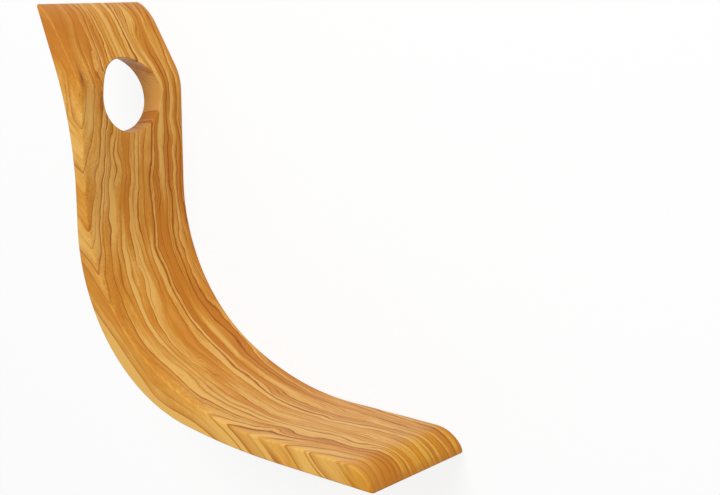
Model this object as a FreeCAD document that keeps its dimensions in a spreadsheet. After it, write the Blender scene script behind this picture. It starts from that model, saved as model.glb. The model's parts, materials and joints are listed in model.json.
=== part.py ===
import FreeCAD, Part
import math
import os
import Sketcher
from FreeCAD import Vector

# A balancing bottle holder, sawn and sanded from one board of olive wood.
# It is drawn lying on one of its flat side faces, which is how it rests while
# it is empty. X runs from the upright towards the toe, Y from the sole up to
# the crest, and Z across the board. Lengths are millimetres, angles degrees.

SIZES = {
    "board_width": 58.0,          # from side face to side face
    "sole_length": 49.0,          # flat stretch that stands on the table
    "foot_thickness": 9.0,
    "toe_radius": 14.8,           # round-over from the foot's top to the sharp toe
    "heel_sweep_radius": 350.0,   # slow start of the back's curve
    "heel_sweep_angle": 8.7,
    "back_bend_radius": 77.4,     # main bend, seen on the back
    "back_straight": 13.4,        # upright stretch of the back
    "flare_radius": 147.5,        # hollow curve that leans the crest back
    "flare_angle": 22.5,
    "flare_straight": 28.0,
    "upright_thickness": 6.5,
    "front_bend_growth": 2.8,     # front bend's radius over the back's
    "front_bend_delay": 10.0,     # the foot's top stays flat this much longer
    "front_sweep_angle": 29.4,
    "shoulder_radius": 20.0,      # where the front face turns back to the crest
    "crest_slope_angle": 34.0,
    "crest_depth": 4.8,           # from the sharp crest to the line of the slope
    "crest_radius": 26.3,         # round-over from the slope to the crest
    "bore_diameter": 32.5,        # takes a bottle's neck
    "bore_below_crest": 40.2,
    "long_edge_round": 0.9,
    "end_edge_round": 0.5,
    "bore_rim_round": 0.7,
}


def make_sheet(doc):
    sheet = doc.addObject("Spreadsheet::Sheet", "Sizes")
    for row, (name, value) in enumerate(SIZES.items(), start=1):
        sheet.set("A%d" % row, name)
        sheet.set("B%d" % row, str(value))
        sheet.setAlias("B%d" % row, name)
    return sheet


def sine(angle):
    return math.sin(math.radians(angle))


def cosine(angle):
    return math.cos(math.radians(angle))


def turn_for(depth, radius):
    """Angle of a round-over that falls by depth from its tangent line."""
    return math.degrees(math.acos(1 - depth / radius))


class Walk:
    """Places lines and tangent arcs one after another, for the sketch to start from."""

    def __init__(self, heading):
        self.place = Vector(0, 0, 0)
        self.heading = heading
        self.pieces = []

    def line(self, length):
        start = self.place
        self.place = start + Vector(cosine(self.heading), sine(self.heading), 0) * length
        self.pieces.append(("line", Part.LineSegment(start, self.place), 1, 2))

    def arc(self, radius, turn):
        """A positive turn bears left. An arc is always stored counter-clockwise."""
        side = 90 if turn > 0 else -90
        toward = self.heading + side
        centre = self.place + Vector(cosine(toward), sine(toward), 0) * radius
        first = toward + 180
        last = first + turn
        low, high = math.radians(min(first, last)), math.radians(max(first, last))
        circle = Part.Circle(centre, Vector(0, 0, 1), radius)
        ends = (1, 2) if turn > 0 else (2, 1)
        self.pieces.append(("arc", Part.ArcOfCircle(circle, low, high), *ends))
        self.place = centre + Vector(cosine(last), sine(last), 0) * radius
        self.heading += turn


def back_walk():
    """From the toe along the sole, round the bend and up the back to the crest."""
    walk = Walk(180)
    walk.line(SIZES["sole_length"])
    walk.arc(SIZES["heel_sweep_radius"], -SIZES["heel_sweep_angle"])
    walk.arc(SIZES["back_bend_radius"], SIZES["heel_sweep_angle"] - 90)
    walk.line(SIZES["back_straight"])
    walk.arc(SIZES["flare_radius"], SIZES["flare_angle"])
    walk.line(SIZES["flare_straight"])
    return walk


def back_reach():
    """How far the upright's back stands behind the toe."""
    turned = sine(SIZES["heel_sweep_angle"])
    return (
        SIZES["sole_length"]
        + SIZES["heel_sweep_radius"] * turned
        + SIZES["back_bend_radius"] * (1 - turned)
    )


def front_walk(crest):
    """From the toe over the foot, round the bend and up the front to the crest."""
    toe_turn = turn_for(SIZES["foot_thickness"], SIZES["toe_radius"])
    flat_end = SIZES["sole_length"] + SIZES["front_bend_delay"]
    bend = SIZES["back_bend_radius"] + SIZES["front_bend_growth"]
    sweep_turn = SIZES["front_sweep_angle"]
    face = back_reach() - SIZES["upright_thickness"]
    sweep = (face - flat_end - bend * (1 - sine(sweep_turn))) / sine(sweep_turn)
    bend_top = (
        SIZES["foot_thickness"] + sweep * (1 - cosine(sweep_turn)) + bend * cosine(sweep_turn)
    )

    # The slope runs parallel to itself at crest_depth in front of the crest.
    slope_turn = SIZES["crest_slope_angle"]
    outward = Vector(cosine(slope_turn), sine(slope_turn), 0)
    upward = Vector(-sine(slope_turn), cosine(slope_turn), 0)
    nearest = crest + outward * SIZES["crest_depth"]
    slope_length = (nearest.x + face) / upward.x
    corner = nearest - upward * slope_length
    cut = SIZES["shoulder_radius"] * math.tan(math.radians(slope_turn / 2))
    crest_round = turn_for(SIZES["crest_depth"], SIZES["crest_radius"])

    walk = Walk(180 - toe_turn)
    walk.arc(SIZES["toe_radius"], toe_turn)
    walk.line(flat_end - SIZES["toe_radius"] * sine(toe_turn))
    walk.arc(sweep, -sweep_turn)
    walk.arc(bend, sweep_turn - 90)
    walk.line(corner.y - cut - bend_top)
    walk.arc(SIZES["shoulder_radius"], slope_turn)
    walk.line(slope_length - cut - SIZES["crest_radius"] * sine(crest_round))
    walk.arc(SIZES["crest_radius"], crest_round)
    return walk


def origin_plane(body, role):
    return next(f for f in body.Origin.OriginFeatures if f.Role == role)


def attach(sketch, plane):
    sketch.AttachmentSupport = [(plane, "")]
    sketch.MapMode = "FlatFace"


def drive(sketch, name, formula, *constraint):
    """Adds a named constraint whose value follows the sheet."""
    index = sketch.addConstraint(Sketcher.Constraint(*constraint))
    sketch.renameConstraint(index, name)
    sketch.setExpression("Constraints." + name, formula)


def join(sketch, first, second):
    """Makes two neighbours of a walk meet and run on without a kink."""
    index_a, (_, _, _, end_a) = first
    index_b, (_, _, start_b, _) = second
    sketch.addConstraint(Sketcher.Constraint("Tangent", index_a, end_a, index_b, start_b))


def add_walk(sketch, walk):
    placed = []
    for piece in walk.pieces:
        placed.append((sketch.addGeometry(piece[1], False), piece))
    for first, second in zip(placed, placed[1:]):
        join(sketch, first, second)
    return [index for index, _ in placed]


def draw_profile(body):
    sketch = body.newObject("Sketcher::SketchObject", "Profile")
    attach(sketch, origin_plane(body, "XY_Plane"))
    back = back_walk()
    front = front_walk(back.place)
    sole, heel, back_bend, back_line, flare, flare_line = add_walk(sketch, back)
    toe, foot_top, sweep, bend, face, shoulder, slope, crest = add_walk(sketch, front)

    root = (-1, 1)
    toe_start = front.pieces[0][2]
    crest_end = front.pieces[-1][3]
    sketch.addConstraint(Sketcher.Constraint("Coincident", sole, 1, *root))
    sketch.addConstraint(Sketcher.Constraint("Coincident", toe, toe_start, *root))
    sketch.addConstraint(Sketcher.Constraint("Coincident", crest, crest_end, flare_line, 2))
    sketch.addConstraint(Sketcher.Constraint("Horizontal", sole))
    sketch.addConstraint(Sketcher.Constraint("Vertical", back_line))
    sketch.addConstraint(Sketcher.Constraint("Horizontal", foot_top))
    sketch.addConstraint(Sketcher.Constraint("Vertical", face))

    def radius_of(name, formula, arc):
        drive(sketch, name, formula, "Radius", arc, sketch.Geometry[arc].Radius)

    def span_of(name, formula, arc):
        curve = sketch.Geometry[arc]
        drive(sketch, name, formula, "Angle", arc, curve.LastParameter - curve.FirstParameter)

    drive(sketch, "sole_length", "Sizes.sole_length", "Distance", sole, SIZES["sole_length"])
    radius_of("heel_sweep_radius", "Sizes.heel_sweep_radius", heel)
    span_of("heel_sweep_angle", "Sizes.heel_sweep_angle * 1 deg", heel)
    radius_of("back_bend_radius", "Sizes.back_bend_radius", back_bend)
    drive(
        sketch, "back_straight", "Sizes.back_straight",
        "Distance", back_line, SIZES["back_straight"],
    )
    radius_of("flare_radius", "Sizes.flare_radius", flare)
    span_of("flare_angle", "Sizes.flare_angle * 1 deg", flare)
    drive(
        sketch, "flare_straight", "Sizes.flare_straight",
        "Distance", flare_line, SIZES["flare_straight"],
    )

    radius_of("toe_radius", "Sizes.toe_radius", toe)
    drive(
        sketch, "foot_thickness", "Sizes.foot_thickness",
        "DistanceY", *root, foot_top, 1, SIZES["foot_thickness"],
    )
    drive(
        sketch, "foot_top_end", "Sizes.sole_length + Sizes.front_bend_delay",
        "DistanceX", foot_top, 2, *root, SIZES["sole_length"] + SIZES["front_bend_delay"],
    )
    span_of("front_sweep_angle", "Sizes.front_sweep_angle * 1 deg", sweep)
    radius_of("front_bend_radius", "Sizes.back_bend_radius + Sizes.front_bend_growth", bend)
    drive(
        sketch, "upright_thickness", "Sizes.upright_thickness",
        "DistanceX", back_line, 2, face, 1, SIZES["upright_thickness"],
    )
    radius_of("shoulder_radius", "Sizes.shoulder_radius", shoulder)
    span_of("crest_slope_angle", "Sizes.crest_slope_angle * 1 deg", shoulder)
    drive(
        sketch, "crest_depth", "Sizes.crest_depth",
        "Distance", flare_line, 2, slope, SIZES["crest_depth"],
    )
    radius_of("crest_radius", "Sizes.crest_radius", crest)

    # The overall size follows from the rest. The bore and the origin read it here.
    for name, kind in (("overall_length", "DistanceX"), ("overall_height", "DistanceY")):
        ends = (flare_line, 2, *root) if kind == "DistanceX" else (*root, flare_line, 2)
        index = sketch.addConstraint(Sketcher.Constraint(kind, *ends, 100.0))
        sketch.setDriving(index, False)
        sketch.renameConstraint(index, name)
    return sketch


def saw_out(body, profile):
    pad = body.newObject("PartDesign::Pad", "Board")
    pad.Profile = profile
    pad.setExpression("Length", "Sizes.board_width")
    return pad


def drill_neck_hole(doc, body):
    """The hole runs level when the holder stands on its sole."""
    sketch = body.newObject("Sketcher::SketchObject", "NeckHole")
    attach(sketch, origin_plane(body, "YZ_Plane"))
    height = 100.0
    circle = Part.Circle(Vector(height, SIZES["board_width"] / 2, 0), Vector(0, 0, 1), 10)
    sketch.addGeometry(circle, False)
    drive(sketch, "bore_diameter", "Sizes.bore_diameter", "Diameter", 0, SIZES["bore_diameter"])
    drive(
        sketch, "bore_height", "Profile.Constraints.overall_height - Sizes.bore_below_crest * 1 mm",
        "DistanceX", -1, 1, 0, 3, height,
    )
    drive(
        sketch, "bore_middle", "Sizes.board_width / 2",
        "DistanceY", -1, 1, 0, 3, SIZES["board_width"] / 2,
    )
    doc.recompute()

    solid = body.Tip.Shape.Volume
    pocket = body.newObject("PartDesign::Pocket", "NeckBore")
    pocket.Profile = sketch
    pocket.Type = "ThroughAll"
    for reverse in (False, True):
        pocket.Reversed = reverse
        doc.recompute()
        if pocket.Shape.Volume < solid - 1:
            break
    return pocket


def edge_names(shape, wanted):
    return [
        "Edge%d" % (i + 1)
        for i, edge in enumerate(shape.Edges)
        if any(edge.isSame(other) for other in wanted)
    ]


def is_side_face(face):
    if not isinstance(face.Surface, Part.Plane):
        return False
    return abs(abs(face.normalAt(0, 0).z) - 1) < 1e-6


def long_edges(shape):
    return [e for f in shape.Faces if is_side_face(f) for e in f.Edges]


def rim_edges(shape):
    """The two mouths of the neck bore, without the seam between them."""
    radius = SIZES["bore_diameter"] / 2
    rims = []
    for face in shape.Faces:
        surface = face.Surface
        if not isinstance(surface, Part.Cylinder) or abs(surface.Axis.x) < 0.999:
            continue
        if abs(surface.Radius - radius) < 1e-6:
            rims += [e for e in face.Edges if not e.isSeam(face)]
    return rims


def end_edges(shape):
    """The sharp toe and the sharp crest, which run straight across the board."""
    ends = []
    crest = back_walk().place
    for edge in shape.Edges:
        if len(edge.Vertexes) != 2:
            continue
        middle = (edge.Vertexes[0].Point + edge.Vertexes[1].Point) / 2
        across = abs(edge.Vertexes[0].Point.z - edge.Vertexes[1].Point.z)
        if across < SIZES["board_width"] / 2:
            continue
        for tip in (Vector(0, 0, 0), crest):
            if math.hypot(middle.x - tip.x, middle.y - tip.y) < 0.1:
                ends.append(edge)
    return ends


def sand(doc, body, label, find, radius):
    base = body.Tip
    fillet = body.newObject("PartDesign::Fillet", label)
    fillet.Base = (base, edge_names(base.Shape, find(base.Shape)))
    fillet.setExpression("Radius", radius)
    doc.recompute()
    return fillet


def make_holder(doc):
    body = doc.addObject("PartDesign::Body", "bottle_holder")
    body.Label = "bottle_holder"
    profile = draw_profile(body)
    doc.recompute()
    saw_out(body, profile)
    doc.recompute()
    drill_neck_hole(doc, body)
    # No edge is rounded by more than its wall, or the edge that it runs into, allows.
    sand(doc, body, "EndEdges", end_edges, "min(Sizes.end_edge_round; Sizes.crest_depth / 4)")
    thin = "Sizes.upright_thickness / 3"
    sand(doc, body, "BoreRims", rim_edges, "min(Sizes.bore_rim_round; %s)" % thin)
    ends = "Sizes.end_edge_round * 2"
    sand(doc, body, "LongEdges", long_edges, "min(Sizes.long_edge_round; %s; %s)" % (thin, ends))
    # The origin is under the middle of the piece, on what it lies on.
    body.setExpression("Placement.Base.x", "Profile.Constraints.overall_length / 2")
    body.setExpression("Placement.Base.y", "-Profile.Constraints.overall_height / 2")
    doc.recompute()
    return body


def check(doc, pieces):
    for item in doc.Objects:
        if "Invalid" in item.State or "Error" in item.State:
            raise RuntimeError("%s failed: %s" % (item.Name, item.State))
    for piece in pieces:
        if piece.Shape.isNull() or not piece.Shape.isValid() or len(piece.Shape.Solids) != 1:
            raise RuntimeError("%s isn't one valid solid" % piece.Label)


def main():
    os.makedirs("parts", exist_ok=True)
    doc = FreeCAD.newDocument("BottleHolder")
    make_sheet(doc)
    doc.recompute()
    pieces = [make_holder(doc)]
    check(doc, pieces)
    for piece in pieces:
        piece.Shape.exportStep("parts/%s.step" % piece.Label)
        box = piece.Shape.BoundBox
        print(piece.Label, "volume %.1f" % piece.Shape.Volume, box)


main()
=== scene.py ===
import bisect
import json
import math
import bmesh
import bpy
from mathutils import Matrix, Vector, noise


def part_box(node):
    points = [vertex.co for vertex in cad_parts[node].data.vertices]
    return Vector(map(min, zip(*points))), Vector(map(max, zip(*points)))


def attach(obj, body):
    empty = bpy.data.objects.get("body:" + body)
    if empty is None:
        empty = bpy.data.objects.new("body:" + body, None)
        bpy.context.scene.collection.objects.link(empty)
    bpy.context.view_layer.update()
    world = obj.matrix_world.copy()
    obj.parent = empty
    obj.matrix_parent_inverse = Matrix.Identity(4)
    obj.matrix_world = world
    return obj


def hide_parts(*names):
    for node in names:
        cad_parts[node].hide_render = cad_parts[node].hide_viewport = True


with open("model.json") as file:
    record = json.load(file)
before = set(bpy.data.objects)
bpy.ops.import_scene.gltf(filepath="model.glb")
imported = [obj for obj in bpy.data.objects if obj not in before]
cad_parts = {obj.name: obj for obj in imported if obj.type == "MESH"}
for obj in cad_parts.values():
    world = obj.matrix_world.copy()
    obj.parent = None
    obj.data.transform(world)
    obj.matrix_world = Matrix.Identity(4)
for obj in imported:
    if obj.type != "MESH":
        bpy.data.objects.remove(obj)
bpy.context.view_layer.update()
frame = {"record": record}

# The holder lies on its side. +X runs to the toe, +Y is up in use and +Z is across the board.
# Places in use are measured from the middle of the toe
perMetre = 1000   # mm
least = 1e-9      # keeps a division from failing
low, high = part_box("bottle_holder")
toe = Vector((high.x, low.y, (low.z + high.z) / 2))
boreMount = next(m for m in frame["record"]["mounts"] if m["name"] == "neck_bore")
boreHeight = perMetre * (boreMount["pos_m"][1] - toe.y)   # mm over the sole, in use
boreRadius = boreMount["dims"]["r_mm"]


def inUse(x, y, z):   # a place as the holder stands, in mm: x to the toe, y away from the viewer, z up
    return toe + Vector((x, z, -y)) / perMetre


holder = {
    "width": 58.0,             # mm, as are all lengths here
    "sole": 49.0,
    "footThick": 9.0,
    "toeRadius": 14.8,
    "heel": (350.0, 8.7),      # radius and turn of an arc, in degrees
    "backBend": 77.4,
    "backLine": 13.4,
    "flare": (147.5, 22.5),
    "flareLine": 28.0,
    "uprightThick": 6.5,
    "footLine": 10.0,          # the foot's top stays flat this much longer than the sole
    "frontSweep": 29.4,        # degrees
    "frontBend": 80.2,
    "shoulder": (20.0, 34.0),
    "crestDepth": 4.8,
    "crestRadius": 26.3,
    "toeCut": 0.86,            # takes the sharpness off the toe
    "crestCut": 1.37,
    "tipSteps": 8,
    "tipTurn": 4.0,            # one long step next to each tip leaves room for that
    "arcSteps": 60,
    "backSteps": 120,
    "frontSteps": 100,
    "outlineJoin": 0.02,
    "bendTop": 95.2,           # height from which front and back run up level with each other
    "pairs": 400,              # opposite points along the foot, the bend and the upright each
    "boardThick": 10.0,        # of the flat board, before it takes the outline's thickness
    "rows": 206,
    "columns": 40,
    "endRows": 3,              # this many rows at each end are cut again
    "endCuts": 3,
    "patchCells": 28,          # cells along each side of the square that the bore sits in
    "patchRings": 3,
    "patchSlack": 0.1,
    "endGap": 0.01,            # what is nearer to an end of the board than this lies on it
    "endFacing": 0.99,         # how squarely a face there looks along the board
    "sharp": 1.0,              # radians, from which an edge is rounded
    "longRound": 0.9,
    "rimRound": 0.7,
    "roundSteps": 4,
    "tipZone": 4.2,            # rows draw together this far from a tip
    "tipPower": 1.7,
    "toeCorner": 1.6,          # the board's four corners seen from above
    "crestCorner": 1.2,
    "unevenness": 0.05,        # of hand sanding
    "waves": (23.0, 17.0),     # its waves along and across the board
    "waveApart": 3.0,          # gives the front and the back their own waves
    "calmRun": 20.0,           # less of it this near to a tip, and where the wood is this thin
    "calmThick": 6.0,
    "meshJoin": 0.002,
}


def sine(angle):
    return math.sin(math.radians(angle))


def cosine(angle):
    return math.cos(math.radians(angle))


def runLine(bm, vert, heading, length):
    grown = bmesh.ops.extrude_vert_indiv(bm, verts=[vert])["verts"][0]
    bmesh.ops.translate(bm, verts=[grown], vec=Vector((cosine(heading), sine(heading), 0)) * length)
    return grown


def runArc(bm, vert, heading, radius, turn, steps=holder["arcSteps"]):
    side = heading + math.copysign(90, turn)
    middle = vert.co + Vector((cosine(side), sine(side), 0)) * radius
    made = bmesh.ops.spin(bm, geom=[vert], cent=middle, axis=(0, 0, 1), angle=math.radians(turn),
                          steps=steps)
    last = next(item for item in made["geom_last"] if isinstance(item, bmesh.types.BMVert))
    return last, heading + turn


def roundTip(bm, place, cut):
    tip = min(bm.verts, key=lambda v: (v.co - place).length)
    bmesh.ops.bevel(bm, geom=[tip], offset=cut, offset_type="OFFSET", affect="VERTICES",
                    segments=holder["tipSteps"], profile=0.5, material=-1)


def drawOutline():   # the side view as it stands, from the toe at 0, 0
    spec = holder
    bm = bmesh.new()
    tipTurn = spec["tipTurn"]
    toeTurn = math.degrees(math.acos(1 - spec["footThick"] / spec["toeRadius"]))
    crestTurn = math.degrees(math.acos(1 - spec["crestDepth"] / spec["crestRadius"]))

    # The back: sole, heel, bend, line, flare and line to the crest
    start = bmesh.ops.create_vert(bm, co=(0, 0, 0))["vert"][0]
    vert = runLine(bm, start, 180, spec["sole"])
    vert, heading = runArc(bm, vert, 180, spec["heel"][0], -spec["heel"][1])
    vert, heading = runArc(bm, vert, heading, spec["backBend"], 90 - heading, spec["backSteps"])
    reach = vert.co.x
    vert = runLine(bm, vert, 90, spec["backLine"])
    vert, heading = runArc(bm, vert, 90, *spec["flare"])
    vert = runLine(bm, vert, heading, spec["flareLine"])
    crest = vert.co.copy()

    # Where the front's lines meet, from the places that it has to pass
    face = reach + spec["uprightThick"]
    sweep, bend = spec["frontSweep"], spec["frontBend"]
    flatEnd = spec["sole"] + spec["footLine"]
    sweepRadius = (-face - flatEnd - bend * (1 - sine(sweep))) / sine(sweep)
    radius, slope = spec["shoulder"]
    nearest = crest + Vector((cosine(slope), sine(slope), 0)) * spec["crestDepth"]
    slopeLength = (nearest.x - face) / -sine(slope)
    corner = nearest.y - cosine(slope) * slopeLength
    cut = radius * math.tan(math.radians(slope / 2))

    # The front: toe, foot, sweep, bend, upright, shoulder, slope and crest
    start = bmesh.ops.create_vert(bm, co=(0, 0, 0))["vert"][0]
    vert, heading = runArc(bm, start, 180 - toeTurn, spec["toeRadius"], tipTurn, 1)
    vert, heading = runArc(bm, vert, heading, spec["toeRadius"], toeTurn - tipTurn)
    vert = runLine(bm, vert, 180, flatEnd - spec["toeRadius"] * sine(toeTurn))
    vert, heading = runArc(bm, vert, 180, sweepRadius, -sweep, spec["frontSteps"])
    vert, heading = runArc(bm, vert, heading, bend, 90 - heading, spec["frontSteps"])
    vert = runLine(bm, vert, 90, corner - cut - vert.co.y)
    vert, heading = runArc(bm, vert, 90, radius, slope)
    vert = runLine(bm, vert, heading, slopeLength - cut - spec["crestRadius"] * sine(crestTurn))
    vert, heading = runArc(bm, vert, heading, spec["crestRadius"], crestTurn - tipTurn)
    runArc(bm, vert, heading, spec["crestRadius"], tipTurn, 1)
    bmesh.ops.remove_doubles(bm, verts=bm.verts, dist=spec["outlineJoin"])
    roundTip(bm, Vector((0, 0, 0)), spec["toeCut"])
    roundTip(bm, crest, spec["crestCut"])
    return bm


def followOutline(bm):   # from the toe's tip to the crest, first over the front and then along the back
    tip = max(bm.verts, key=lambda v: v.co.x)
    top = max(bm.verts, key=lambda v: v.co.y)
    ways = []
    for edge in tip.link_edges:
        points = [tip.co.copy()]
        vert = tip
        while vert != top:
            vert = edge.other_vert(vert)
            points.append(vert.co.copy())
            edge = next(e for e in vert.link_edges if e != edge)
        ways.append(points)
    ways.sort(key=lambda points: -points[3].y)   # next to the toe the front is the higher one
    return ways


def back(point):
    return -point.x


def up(point):
    return point.y


def meet(points, key, value):   # where a line of points reaches a value of its rising key
    place = min(max(bisect.bisect_left(points, value, key=key), 1), len(points) - 1)
    a, b = points[place - 1], points[place]
    share = (value - key(a)) / max(key(b) - key(a), least)
    return a.lerp(b, min(max(share, 0.0), 1.0))


def spaced(points, count):   # the same line in equal steps, and its length
    runs = [0.0]
    for a, b in zip(points, points[1:]):
        runs.append(runs[-1] + (b - a).length)
    out = []
    for i in range(1, count + 1):
        run = runs[-1] * i / count
        place = min(max(bisect.bisect_left(runs, run), 1), len(runs) - 1)
        share = (run - runs[place - 1]) / (runs[place] - runs[place - 1])
        out.append(points[place - 1].lerp(points[place], min(share, 1.0)))
    return out, runs[-1]


def pairUp(front, rear):   # opposite points with their place along the board
    spec = holder
    count = spec["pairs"]
    tip, top, start = front[0].x, front[-1].y, spec["bendTop"]
    foot = tip + spec["sole"]
    pairs = []
    for i in range(count + 1):
        run = foot * (i / count) ** 2   # close together at the tip
        pairs.append((run, meet(front, back, run - tip), meet(rear, back, run - tip)))
    bends = []
    for points in (front, rear):
        inside = [p for p in points if p.x < -spec["sole"] and p.y < start]
        bends.append(spaced([meet(points, back, spec["sole"]), *inside, meet(points, up, start)], count))
    length = (bends[0][1] + bends[1][1]) / 2
    for i, (a, b) in enumerate(zip(bends[0][0], bends[1][0]), start=1):
        pairs.append((foot + length * i / count, a, b))
    for i in range(1, count + 1):
        height = top - (top - start) * (1 - i / count) ** 2
        pairs.append((foot + length + height - start, meet(front, up, height), meet(rear, up, height)))
    return pairs


def cornerEdges(bm, total):   # the sharp edges along the board, not those across its ends
    gap = holder["endGap"]
    found = []
    for edge in bm.edges:
        middle = (edge.verts[0].co.x + edge.verts[1].co.x) / 2
        if edge.calc_face_angle() > holder["sharp"] and gap < middle < total - gap:
            found.append(edge)
    return found


def sawBoard(total, boreAt):   # the flat board with its bore and its rounded edges
    spec = holder
    bm = bmesh.new()
    bmesh.ops.create_grid(bm, x_segments=spec["rows"], y_segments=spec["columns"], size=0.5)
    bmesh.ops.scale(bm, verts=bm.verts, vec=(total, spec["width"], 1))
    bmesh.ops.translate(bm, verts=bm.verts, vec=(total / 2, 0, 0))
    step = total / spec["rows"]
    for end in (0, total):   # more rows next to the two tips
        near = []
        for edge in bm.edges:
            a, b = edge.verts[0].co, edge.verts[1].co
            if abs(a.x - b.x) > step / 2 and abs((a.x + b.x) / 2 - end) < spec["endRows"] * step:
                near.append(edge)
        bmesh.ops.subdivide_edges(bm, edges=near, cuts=spec["endCuts"], use_grid_fill=True)

    # The bore: a square comes out, and rings lead from its border to a circle
    half = spec["patchCells"] / 2 * spec["width"] / spec["columns"]
    square = []
    for face in bm.faces:
        middle = face.calc_center_median()
        if max(abs(middle.x - boreAt), abs(middle.y)) < half:
            square.append(face)
    bmesh.ops.delete(bm, geom=square, context="FACES")
    hole = []
    reach = half + spec["patchSlack"]
    for edge in bm.edges:
        place = edge.verts[0].co
        if edge.is_boundary and abs(place.y) < reach and abs(place.x - boreAt) < half + step:
            hole.append(edge)
    raised = Matrix.Translation((boreAt, 0, spec["boardThick"]))   # the bridge needs a circle off the board
    circle = bmesh.ops.create_circle(bm, segments=len(hole), radius=boreRadius, matrix=raised)
    ring = {edge for vert in circle["verts"] for edge in vert.link_edges}
    bridge = bmesh.ops.bridge_loops(bm, edges=[*hole, *ring])
    spokes = [e for e in bridge["edges"] if e not in ring and e not in hole]
    bmesh.ops.subdivide_edges(bm, edges=spokes, cuts=spec["patchRings"], use_grid_fill=True)
    bmesh.ops.scale(bm, verts=bm.verts, vec=(1, 1, 0))
    bmesh.ops.recalc_face_normals(bm, faces=bm.faces)

    bmesh.ops.solidify(bm, geom=bm.faces[:], thickness=spec["boardThick"])
    lift = sum(v.co.z for v in bm.verts) / len(bm.verts)
    bmesh.ops.translate(bm, verts=bm.verts, vec=(0, 0, -lift))
    bmesh.ops.recalc_face_normals(bm, faces=bm.faces)
    corners = cornerEdges(bm, total)
    rims = [e for e in corners if abs(e.verts[0].co.y) < half]
    sides = [e for e in corners if abs(e.verts[0].co.y) > half]
    for edges, radius in ((rims, spec["rimRound"]), (sides, spec["longRound"])):
        bmesh.ops.bevel(bm, geom=edges, offset=radius, offset_type="OFFSET", affect="EDGES",
                        segments=spec["roundSteps"], profile=0.5, material=-1)
    ends = []   # the tips close of themselves when the board is shaped
    for face in bm.faces:
        middle = face.calc_center_median().x
        if abs(face.normal.x) > spec["endFacing"] and min(middle, total - middle) < spec["endGap"]:
            ends.append(face)
    bmesh.ops.delete(bm, geom=ends, context="FACES")
    return bm


def shapeBoard(bm, pairs):   # moves each place of the flat board to its place between front and back
    spec = holder
    total = pairs[-1][0]
    keys = [pair[0] for pair in pairs]
    zone = spec["tipZone"]
    longWave, crossWave = spec["waves"]
    for vert in bm.verts:
        run = vert.co.x
        fromEnd = max(min(run, total - run), 0.0)
        if fromEnd < zone:
            fromEnd = zone * (fromEnd / zone) ** spec["tipPower"]
            run = fromEnd if run < total / 2 else total - fromEnd
        place = min(max(bisect.bisect_left(keys, run), 1), len(keys) - 1)
        (a, frontA, rearA), (b, frontB, rearB) = pairs[place - 1], pairs[place]
        share = min(max((run - a) / (b - a), 0.0), 1.0)
        outer, inner = frontA.lerp(frontB, share), rearA.lerp(rearB, share)
        if vert.co.z < 0:
            outer, inner = inner, outer
        thick = (inner - outer).length
        depth = spec["boardThick"] / 2 - abs(vert.co.z)
        depth *= min(1.0, thick / 2 / spec["longRound"])
        apart = math.copysign(spec["waveApart"], vert.co.z)
        wave = 0.5 + 0.5 * noise.noise(Vector((run / longWave, vert.co.y / crossWave, apart)))
        calm = min(1.0, fromEnd / spec["calmRun"]) * min(1.0, thick / spec["calmThick"])
        depth += spec["unevenness"] * calm * wave
        point = outer.lerp(inner, min(depth / max(thick, least), 0.5))
        pulled = 0.0
        corner = spec["toeCorner"] if run < total / 2 else spec["crestCorner"]
        if fromEnd < corner:
            pulled = corner - math.sqrt(corner ** 2 - (corner - fromEnd) ** 2)
        vert.co = Vector((point.x, point.y, vert.co.y * (1 - 2 * pulled / spec["width"])))
    bmesh.ops.remove_doubles(bm, verts=bm.verts, dist=spec["meshJoin"])
    bmesh.ops.dissolve_degenerate(bm, dist=spec["meshJoin"], edges=bm.edges)
    bmesh.ops.recalc_face_normals(bm, faces=bm.faces)


def makeHolder():
    outline = drawOutline()
    front, rear = followOutline(outline)
    outline.free()
    pairs = pairUp(front, rear)
    total = pairs[-1][0]
    bm = sawBoard(total, total - (front[-1].y - boreHeight))
    shapeBoard(bm, pairs)
    shift = Vector((toe.x - max(v.co.x for v in bm.verts) / perMetre, toe.y, toe.z))
    bmesh.ops.scale(bm, verts=bm.verts, vec=(1 / perMetre, 1 / perMetre, 1 / perMetre))
    bmesh.ops.translate(bm, verts=bm.verts, vec=shift)
    for face in bm.faces:
        face.smooth = True
    mesh = bpy.data.meshes.new("holderWood")
    bm.to_mesh(mesh)
    bm.free()
    piece = bpy.data.objects.new("holder_wood", mesh)
    bpy.context.scene.collection.objects.link(piece)
    piece.modifiers.new("Weighted", "WEIGHTED_NORMAL")
    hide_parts("bottle_holder")
    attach(piece, "root")
    print("holder: done,", len(mesh.polygons), "faces")
    return piece


editor = {"columns": 12, "across": 180, "down": 240}   # how nodes stand in the editor


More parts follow.
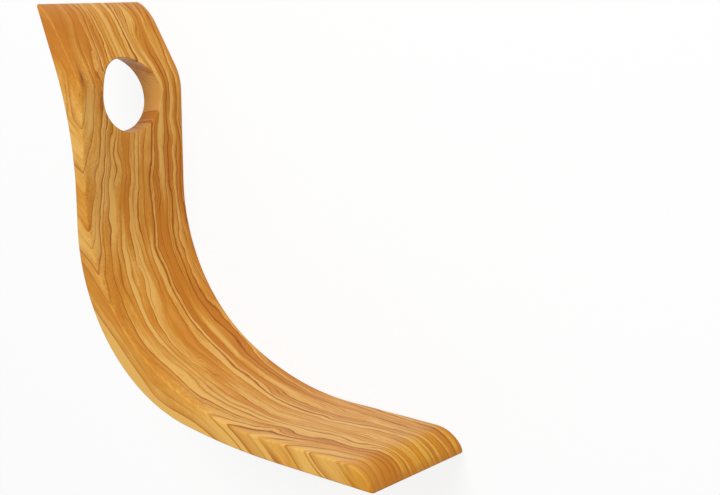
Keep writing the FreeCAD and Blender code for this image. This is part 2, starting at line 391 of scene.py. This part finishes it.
class Wiring:   # short ways to add nodes to one tree

    def __init__(self, tree):
        self.tree = tree
        self.count = 0

    def add(self, kind, settings=None, **sockets):
        made = self.tree.nodes.new(kind)
        row, column = divmod(self.count, editor["columns"])
        made.location = (editor["across"] * column, -editor["down"] * row)
        self.count += 1
        for name, value in (settings or {}).items():
            setattr(made, name, value)
        for name, value in sockets.items():
            self.feed(made.inputs[name.replace("_", " ")], value)
        return made

    def feed(self, socket, value):
        if isinstance(value, bpy.types.NodeSocket):
            self.tree.links.new(value, socket)
        else:
            socket.default_value = value

    def math(self, operation, *values):
        made = self.add("ShaderNodeMath", {"operation": operation})
        for socket, value in zip(made.inputs, values):
            self.feed(socket, value)
        return made.outputs[0]

    def plus(self, *values):
        total = values[0]
        for value in values[1:]:
            total = self.math("ADD", total, value)
        return total

    def times(self, *values):
        total = values[0]
        for value in values[1:]:
            total = self.math("MULTIPLY", total, value)
        return total

    def minus(self, a, b):
        return self.math("SUBTRACT", a, b)

    def vector(self, x, y, z):
        made = self.add("ShaderNodeCombineXYZ")
        for socket, value in zip(made.inputs, (x, y, z)):
            self.feed(socket, value)
        return made.outputs[0]

    def axes(self, vector):   # its x, y and z
        return self.add("ShaderNodeSeparateXYZ", None, Vector=vector).outputs

    def measure(self, operation, vector, other):
        made = self.add("ShaderNodeVectorMath", {"operation": operation})
        self.feed(made.inputs[0], vector)
        self.feed(made.inputs[1], other)
        return made.outputs["Value"]

    def grainNoise(self, places, scales, detail=2.0, rough=0.5, shift=0.0):   # from about -0.25 to 0.25
        x, y, z = [self.times(place, scale) for place, scale in zip(places, scales)]
        made = self.add("ShaderNodeTexNoise", None, Vector=self.vector(self.plus(x, shift), y, z), Scale=1.0,
                        Detail=detail, Roughness=rough)
        return self.minus(made.outputs["Fac"], 0.5)

    def step(self, value, start, end):   # 0 to 1, smooth, as the value goes from start to end
        made = self.add("ShaderNodeMapRange", {"interpolation_type": "SMOOTHSTEP"})
        for socket, given in zip(made.inputs, (value, start, end, 0.0, 1.0)):
            self.feed(socket, given)
        return made.outputs[0]

    def bump(self, value, width):   # 1 at 0, fading over the width
        share = self.math("DIVIDE", value, width)
        return self.math("EXPONENT", self.times(self.times(share, share), -1.0))

    def spot(self, vector, place, size):   # 1 at the place, fading over the size
        return self.bump(self.measure("DISTANCE", vector, place), size)

    def blend(self, share, a, b):
        made = self.add("ShaderNodeMix", {"data_type": "RGBA"})
        for socket, value in ((made.inputs[0], share), (made.inputs[6], a), (made.inputs[7], b)):
            self.feed(socket, (*value, 1) if isinstance(value, tuple) else value)
        return made.outputs[2]

    def seen(self):   # 1 for the camera, in reflections and through clear things
        path = self.add("ShaderNodeLightPath").outputs
        direct = self.math("MAXIMUM", path["Is Camera Ray"], path["Is Glossy Ray"])
        return self.math("MAXIMUM", direct, path["Is Transmission Ray"])


def newGroup(name, inputs, outputs):
    tree = bpy.data.node_groups.new(name, "ShaderNodeTree")
    for label, (kind, value) in inputs.items():
        socket = tree.interface.new_socket(name=label, in_out="INPUT", socket_type=kind)
        if value is not None:
            socket.default_value = value
    for label in outputs:
        tree.interface.new_socket(name=label, in_out="OUTPUT", socket_type="NodeSocketFloat")
    w = Wiring(tree)
    return tree, w, w.add("NodeGroupInput").outputs, w.add("NodeGroupOutput").inputs


grain = {   # places and lengths in mm, as the holder stands in use
    "along": (0.77, 0, -0.64),             # the way the grain runs, from crest to toe
    "over": (0.64, 0, 0.77),
    "overStart": 20.0,                     # height over the grain counts from this far under the toe
    "knot": ((-161, -19, 140), 8.0),       # a small knot beside the bore, its place and size
    "settled": ((-172, -29, 147), 13.0),   # on the near side by the knot no eye forms
    "settledBy": 0.9,                      # rings
    "band": (15.0, 8.0),                   # a band this far to the near side of the middle, and its width

    # Where each region begins and where it is full
    "regions": {
        "foot": ("x", -125.0, -60.0),
        "toeEnd": ("x", -16.0, -3.0),
        "upper": ("z", 90.0, 135.0),
        "side": ("y", -15.0, -30.0),
        "inner": ("y", -29.0, -16.0),
    },

    # Noise: its waves to a mm along the grain, to a mm or a ring through it, and to a mm over it
    "slow": {"scales": (0.016, 0.045, 0.03)},
    "quick": {"scales": (0.07, 0.16, 0.10)},
    "fine": {"scales": (0.21, 0.5, 0.25)},
    "fade": {"scales": (0.028, 3.1, 0.03)},
    "bands": {"scales": (0.017, 2.3, 0.02)},
    "broad": {"scales": (0.012, 0.32, 0.02)},
    "patchy": {"scales": (0.035, 1.3, 0.07), "detail": 3.0, "rough": 0.6},
    "fibres": {"scales": (0.10, 9.0, 2.2), "detail": 3.0, "rough": 0.6},
    "streaks": {"scales": (0.05, 3.6, 0.4), "detail": 3.0, "rough": 0.65},

    # How far the rings wave, in mm
    "slowWave": 15.0,
    "quickWave": 3.1,
    "fineWave": 0.7,
    "knotWave": 5.0,           # more of the fine waves at the knot
    "knotPull": -0.4,

    # How they stand
    "partFrom": 10.0,          # wider apart from this far to the near side of the middle
    "partBy": 0.0063,
    "lean": -0.02,             # rings passed by each mm over the grain, in the middle of the board,
    "leanBy": 0.0017,          # and what each mm through it adds
    "footLean": 0.05,

    # The line of a ring
    "narrowest": 0.45,         # lines are this much of the line width,
    "unequal": 1.3,            # and up to this much more
    "core": 0.35,              # the share of a line that is fully dark
    "halo": 4.5,               # how many line widths its shade reaches
    "fadeBy": 2.4,             # how much the noise fades it along its run
    "fadeOver": 0.75,
    "thinEach": 2.7,           # thin lines to each ring
    "thinWidth": 0.6,
    "thinDark": 0.7,
    "thinShade": 0.6,
    "thinTint": 0.14,
    "thinShift": 31.3,         # gives them their own figure

    # What noise adds to the tint and to the fibres
    "bandsTint": 1.1,
    "broadTint": 0.5,
    "patchyTint": 0.6,
    "streakShare": 0.5,

    # Values over the whole board, and what each region adds to them
    "sideCalm": {"board": 0.3, "inner": 0.7},
    "footCalm": {"board": 1.0, "foot": -0.25},
    "width": {"board": 1.0, "foot": 0.6, "footSide": 0.5, "toeEnd": 0.5},
    "missing": {"board": -0.15, "foot": 0.08, "toeEnd": 0.05},   # a ring has no line if its chance is lower
    "thinMissing": {"board": 0.38, "foot": -0.22, "side": 0.1, "footSide": -0.1, "toeEnd": 0.3},
    "strength": {"board": 1.0, "foot": -0.15, "side": -0.3, "footSide": 0.55},
    "shade": {"board": 1.0, "footSide": 0.7},
    "ownTint": {"board": 0.26, "side": 0.3, "footSide": 0.7, "toeEnd": 0.5},
    "contrast": {"board": 1.0, "foot": -0.35},
    "tint": {"board": 0.445, "foot": 0.15, "side": 0.155, "footSide": 0.12, "upper": 0.03,
             "upperSide": -0.25, "besideSide": 0.15},
    "fibre": {"board": 0.6, "side": 0.6},
}


def makeRingGroup():   # growth rings: their dark lines, the tint between them and the fibres
    number, point = "NodeSocketFloat", "NodeSocketVector"
    tree, w, given, out = newGroup("growthRings", {
        "Vector": (point, None),       # mm, as the holder stands in use
        "Rings per mm": (number, 0.36),
        "Waviness": (number, 1.0),
        "Line Width": (number, 0.7),   # mm
    }, ("Lines", "Shade", "Tint", "Fibre", "Knot"))
    place = given["Vector"]
    x, depth, z = w.axes(place)
    along = w.measure("DOT_PRODUCT", place, grain["along"])
    over = w.plus(w.measure("DOT_PRODUCT", place, grain["over"]), grain["overStart"])
    knot = w.spot(place, *grain["knot"])
    inBoard = (along, depth, over)

    mask = {}
    for name, (axis, start, full) in grain["regions"].items():
        mask[name] = w.step({"x": x, "y": depth, "z": z}[axis], start, full)
    bandAt, bandWidth = grain["band"]
    band = w.bump(w.plus(depth, bandAt), bandWidth)
    mask["footSide"] = w.times(mask["side"], mask["foot"])
    mask["upperSide"] = w.times(mask["side"], mask["upper"])
    mask["besideSide"] = w.times(band, w.minus(1.0, mask["foot"]))

    def overBoard(name):   # a value over the whole board with what each region adds
        parts = dict(grain[name])
        board = parts.pop("board")
        return w.plus(*[w.times(mask[region], share) for region, share in parts.items()], board)

    # The rings are planes through the board that waves have bent
    slow = w.times(w.grainNoise(inBoard, **grain["slow"]), grain["slowWave"])
    quick = w.times(w.grainNoise(inBoard, **grain["quick"]), grain["quickWave"])
    fineWave = w.plus(w.times(knot, grain["knotWave"]), grain["fineWave"])
    fine = w.times(w.grainNoise(inBoard, **grain["fine"]), fineWave)
    small = w.times(w.plus(quick, fine), w.times(overBoard("sideCalm"), overBoard("footCalm")))
    warp = w.times(w.plus(slow, small, w.times(knot, grain["knotPull"])), given["Waviness"])
    warped = w.plus(depth, warp)

    # They stand close in the middle of the board, and far apart and leaning on the near side
    parting = w.math("MINIMUM", w.plus(warped, grain["partFrom"]), 0.0)
    spread = w.plus(w.times(warped, given["Rings per mm"]), w.times(parting, parting, grain["partBy"]))
    lean = w.plus(w.times(warped, grain["leanBy"]), grain["lean"])
    settled = w.times(w.spot(place, *grain["settled"]), grain["settledBy"])
    leaning = w.times(over, w.minus(lean, w.times(mask["footSide"], grain["footLean"])))
    ring = w.plus(spread, settled, leaning)
    density = w.plus(given["Rings per mm"], w.times(parting, 2 * grain["partBy"]),
                     w.times(over, grain["leanBy"]))
    slope = w.math("SQRT", w.plus(w.times(density, density), w.times(lean, lean)))

    def lines(each, width, missing, shift):   # one line or more to each ring, some of them missing or faded
        value = w.plus(w.times(ring, each), shift)
        between = w.add("ShaderNodeTexVoronoi", {"voronoi_dimensions": "1D", "feature": "DISTANCE_TO_EDGE"},
                        W=value, Scale=1.0)
        cell = w.add("ShaderNodeTexVoronoi", {"voronoi_dimensions": "1D", "feature": "F1"},
                     W=value, Scale=1.0).outputs
        chance = w.add("ShaderNodeSeparateColor", None, Color=cell["Color"]).outputs
        after = w.math("GREATER_THAN", value, cell["W"])   # only the far side of a ring is dark
        gap = w.math("DIVIDE", between.outputs["Distance"], w.times(slope, each))   # mm from the line
        wide = w.plus(w.times(chance[0], chance[0], grain["unequal"]), grain["narrowest"])
        wide = w.times(wide, width)
        core = w.minus(1.0, w.step(gap, w.times(wide, grain["core"]), wide))
        halo = w.minus(1.0, w.step(gap, 0.0, w.times(wide, grain["halo"])))
        fade = w.grainNoise((along, cell["W"], over), **grain["fade"], shift=shift)
        strong = w.plus(chance[1], w.times(fade, grain["fadeBy"]))
        strong = w.step(strong, missing, w.plus(missing, grain["fadeOver"]))
        return w.times(core, after, strong), w.times(halo, after, strong), chance[2], cell["W"]

    width = w.times(given["Line Width"], overBoard("width"))
    thinWidth = w.times(width, grain["thinWidth"])
    main, shade, tint, cellPlace = lines(1.0, width, overBoard("missing"), 0.0)
    thin, thinShade, thinTint, _ = lines(grain["thinEach"], thinWidth, overBoard("thinMissing"),
                                         grain["thinShift"])
    dark = w.math("MAXIMUM", main, w.times(thin, grain["thinDark"]))
    w.feed(out["Lines"], w.times(dark, overBoard("strength")))
    shade = w.math("MAXIMUM", shade, w.times(thinShade, grain["thinShade"]))
    w.feed(out["Shade"], w.times(shade, overBoard("shade")))

    inRings = (along, ring, over)
    bands = w.grainNoise((along, cellPlace, over), **grain["bands"])
    broad = w.grainNoise(inRings, **grain["broad"])
    patchy = w.grainNoise(inRings, **grain["patchy"])
    mixed = w.plus(w.times(w.minus(tint, 0.5), overBoard("ownTint")),
                   w.times(w.minus(thinTint, 0.5), grain["thinTint"]),
                   w.times(bands, grain["bandsTint"]),
                   w.times(broad, grain["broadTint"]),
                   w.times(patchy, grain["patchyTint"]))
    w.feed(out["Tint"], w.plus(w.times(mixed, overBoard("contrast")), overBoard("tint")))
    fibres = w.times(w.grainNoise(inRings, **grain["fibres"]), overBoard("fibre"))
    streaks = w.times(w.grainNoise(inRings, **grain["streaks"]), grain["streakShare"])
    w.feed(out["Fibre"], w.plus(fibres, streaks))
    w.feed(out["Knot"], knot)
    return tree


wood = {
    "pale": (0.70, 0.395, 0.09),
    "honey": (0.595, 0.259, 0.025),
    "orange": (0.52, 0.184, 0.007),
    "brown": (0.42, 0.122, 0.003),
    "dark": (0.30, 0.077, 0.000),
    "knot": (0.17, 0.038, 0.008),
    # painted light: the gold that the near side of the foot is painted toward, brighter than the palest wood
    "deep": (0.47, 0.150, 0.004),
    "gold": (0.83, 0.45, 0.08),
    "tints": {"orange": 0.30, "honey": 0.48, "pale": 0.68},
    "rings": 0.36,             # growth rings per mm
    "waviness": 1.0,
    "lineWidth": 0.75,         # mm, as are all lengths here but the depth of the fibres
    "shade": 0.42,
    "fibreTint": 0.5,
    "wallTint": 1.2,           # the bore's wall shows more of the fibres
    "wallStart": 0.1,          # outside the bore's radius
    "wallEnd": 0.6,
    "wallDark": 0.45,
    "drillPitch": 0.9,         # between the faint rings on the bore's wall
    "drillDepth": 0.35,
    "knotDark": 0.40,
    "streakPlace": (26.5, 145.0),      # to the near side and up, of the dark streak beside the knot
    "streakLean": -0.12,
    "streakSize": (0.8, 4.0),
    "streakDark": 0.75,
    # Painted light: where the near side of the foot is painted brighter, and by how much
    "brightSide": (-29.5, -24.0),      # y of the near side
    "brightFoot": (-140.0, -70.0),     # x
    "bright": 0.25,
    "strongToe": (-18.0, -4.0, 0.08),      # from and to which x, and by how much
    "deepToe": (-13.0, 1.0, 0.24),
    "deepRim": (-2.0, -0.3, 0.4),
    "deepCorner": ((-4, -22, 4), 12.0, 0.55),      # place, size and share
    "deepCrest": ((-183, -24, 168), 17.0, 0.75),
    "deepest": 0.8,
    "roughness": 0.40,
    "fibreRough": 0.15,
    "lineRough": 0.06,
    "gloss": 0.22,
    "relief": 0.5,
    "fibreDepth": 0.00004,     # metres
}


def makeWood():
    mat = bpy.data.materials.new("oiledOliveWood")
    mat.use_nodes = True
    mat.node_tree.nodes.clear()
    w = Wiring(mat.node_tree)
    where = w.add("ShaderNodeTexCoord").outputs["Object"]
    board = w.add("ShaderNodeMapping", None, Vector=where)   # to mm, as the holder stands in use
    board.inputs["Scale"].default_value = (perMetre, perMetre, perMetre)
    board.inputs["Rotation"].default_value = (math.radians(90), 0, 0)
    board.inputs["Location"].default_value = (-perMetre * toe.x, perMetre * toe.z, -perMetre * toe.y)
    place = board.outputs[0]
    x, y, z = w.axes(place)
    rings = w.add("ShaderNodeGroup", {"node_tree": makeRingGroup()}, Vector=place, Rings_per_mm=wood["rings"],
                  Waviness=wood["waviness"], Line_Width=wood["lineWidth"])
    made = rings.outputs

    radius = w.measure("DISTANCE", w.vector(0.0, y, z), (0, 0, boreHeight))
    wall = w.minus(1.0, w.step(radius, boreRadius + wood["wallStart"], boreRadius + wood["wallEnd"]))
    fibres = w.times(made["Fibre"], w.plus(w.times(wall, wood["wallTint"]), wood["fibreTint"]))
    base = w.add("ShaderNodeValToRGB", None, Fac=w.plus(made["Tint"], fibres))
    elements = base.color_ramp.elements
    elements.new(0.5)
    for element, (name, tint) in zip(elements, wood["tints"].items()):
        element.position = tint
        element.color = (*wood[name], 1)
    color = w.blend(w.times(made["Shade"], wood["shade"]), base.outputs[0], wood["brown"])
    color = w.blend(made["Lines"], color, wood["dark"])

    # The knot is darker, with a dark streak beside it
    color = w.blend(w.times(made["Knot"], wood["knotDark"]), color, wood["brown"])
    nearer, higher = wood["streakPlace"]
    across, upAndDown = wood["streakSize"]
    rise = w.plus(z, -higher)
    beside = w.plus(y, nearer, w.times(rise, wood["streakLean"]))
    streak = w.times(w.bump(beside, across), w.bump(rise, upAndDown))
    color = w.blend(w.times(streak, wood["streakDark"]), color, wood["knot"])

    # Painted light: the near side of the foot is painted brightest, blended toward gold as if more light fell
    # on it
    side = w.minus(1.0, w.step(y, *wood["brightSide"]))
    side = w.times(side, w.step(x, *wood["brightFoot"]))
    color = w.blend(w.times(side, wood["bright"]), color, wood["gold"])

    # The toe is stronger in colour and deeper orange, most of all at its rim and near corner
    start, end, share = wood["strongToe"]
    stronger = w.plus(w.times(w.step(x, start, end), share), 1.0)
    color = w.add("ShaderNodeHueSaturation", None, Saturation=stronger, Color=color).outputs[0]
    parts = []
    for start, end, share in (wood["deepToe"], wood["deepRim"]):
        parts.append(w.times(w.step(x, start, end), share))
    for spot, size, share in (wood["deepCorner"], wood["deepCrest"]):
        parts.append(w.times(w.spot(place, spot, size), share))
    color = w.blend(w.math("MINIMUM", w.plus(*parts), wood["deepest"]), color, wood["deep"])

    color = w.blend(w.times(wall, wood["wallDark"]), color, wood["brown"])   # the bore's wall took more oil

    turns = w.math("SINE", w.times(x, 2 * math.pi / wood["drillPitch"]))
    height = w.plus(made["Fibre"], w.times(wall, turns, wood["drillDepth"]))
    bump = w.add("ShaderNodeBump", None, Height=height, Strength=wood["relief"], Distance=wood["fibreDepth"])
    fibreRough = w.times(made["Fibre"], wood["fibreRough"])
    rough = w.plus(fibreRough, w.times(made["Lines"], wood["lineRough"]), wood["roughness"])
    shader = w.add("ShaderNodeBsdfPrincipled", None, Base_Color=color, Roughness=rough,
                   Normal=bump.outputs[0], Specular_IOR_Level=wood["gloss"])
    w.add("ShaderNodeOutputMaterial", None, Surface=shader.outputs[0])
    print("wood: done,", w.count, "nodes and", len(rings.node_tree.nodes), "in its group")
    return mat


stage = {
    "floorSize": 6.0,
    "floorColor": (0.86, 0.86, 0.86),
    "floorWhite": 0.84,       # how far the floor is lifted to white for the camera
}


def makeStage():
    bm = bmesh.new()
    bmesh.ops.create_grid(bm, x_segments=1, y_segments=1, size=stage["floorSize"] / 2)
    mesh = bpy.data.meshes.new("floor")
    bm.to_mesh(mesh)
    bm.free()
    floor = bpy.data.objects.new("floor", mesh)
    bpy.context.scene.collection.objects.link(floor)
    mat = bpy.data.materials.new("paleFloor")
    mat.use_nodes = True
    mat.node_tree.nodes.clear()
    w = Wiring(mat.node_tree)
    plain = w.add("ShaderNodeBsdfDiffuse", None, Color=(*stage["floorColor"], 1)).outputs[0]
    white = w.add("ShaderNodeEmission", None, Strength=1.0).outputs[0]
    lifted = w.times(w.seen(), stage["floorWhite"])
    mix = w.add("ShaderNodeMixShader")
    for socket, value in zip(mix.inputs, (lifted, plain, white)):
        w.feed(socket, value)
    w.add("ShaderNodeOutputMaterial", None, Surface=mix.outputs[0])
    mesh.materials.append(mat)
    print("stage: done")


view = {
    "turn": 39.95,     # degrees, round the standing holder
    "tilt": 11.62,     # degrees above its foot
    "place": (295.5, -388.9, 189.1),   # mm from the toe, as the holder stands
    "lens": 66.8,
    "sensor": 36,
    "clipStart": 0.01,
}


def makeCamera():
    turn, tilt = math.radians(view["turn"]), math.radians(view["tilt"])
    backward = Vector((math.sin(turn) * math.cos(tilt), math.sin(tilt), math.cos(turn) * math.cos(tilt)))
    right = Vector((0, 1, 0)).cross(backward).normalized()
    upward = backward.cross(right)
    data = bpy.data.cameras.new("camera")
    data.lens = view["lens"]
    data.sensor_width = view["sensor"]
    data.clip_start = view["clipStart"]
    camera = bpy.data.objects.new("camera", data)
    turned = Matrix((right, upward, backward)).transposed().to_4x4()
    camera.matrix_world = Matrix.Translation(inUse(*view["place"])) @ turned
    bpy.context.scene.collection.objects.link(camera)
    bpy.context.scene.camera = camera
    print("camera: done")
    return right, upward, backward


lights = {   # lamps in metres from the holder's middle as the camera sees it, and in watts
    "key": {"right": -0.45, "up": 0.42, "back": 0.80, "size": 0.7, "power": 8.1},
    "fill": {"right": 0.9, "up": 0.10, "back": 0.45, "size": 0.8, "power": 3.2},
    "world": 0.50,
    "seen": 0.95,      # the world as the camera and reflections see it
}


def makeLights(right, upward, backward):
    middle = (low + high) / 2
    for name in ("key", "fill"):
        spec = lights[name]
        data = bpy.data.lights.new(name, "AREA")
        data.shape = "DISK"
        data.size = spec["size"]
        data.energy = spec["power"]
        lamp = bpy.data.objects.new(name, data)
        away = right * spec["right"] + upward * spec["up"] + backward * spec["back"]
        turned = away.to_track_quat("Z", "Y").to_matrix().to_4x4()
        lamp.matrix_world = Matrix.Translation(middle + away) @ turned
        bpy.context.scene.collection.objects.link(lamp)
    world = bpy.data.worlds.new("world")
    bpy.context.scene.world = world
    world.use_nodes = True
    w = Wiring(world.node_tree)
    background = world.node_tree.nodes["Background"]
    background.inputs["Color"].default_value = (1, 1, 1, 1)
    strength = w.plus(w.times(w.seen(), lights["seen"] - lights["world"]), lights["world"])
    w.feed(background.inputs["Strength"], strength)
    print("lights: done")


piece = makeHolder()
piece.data.materials.append(makeWood())
makeStage()
makeLights(*makeCamera())
bpy.context.scene.view_settings.view_transform = "Standard"
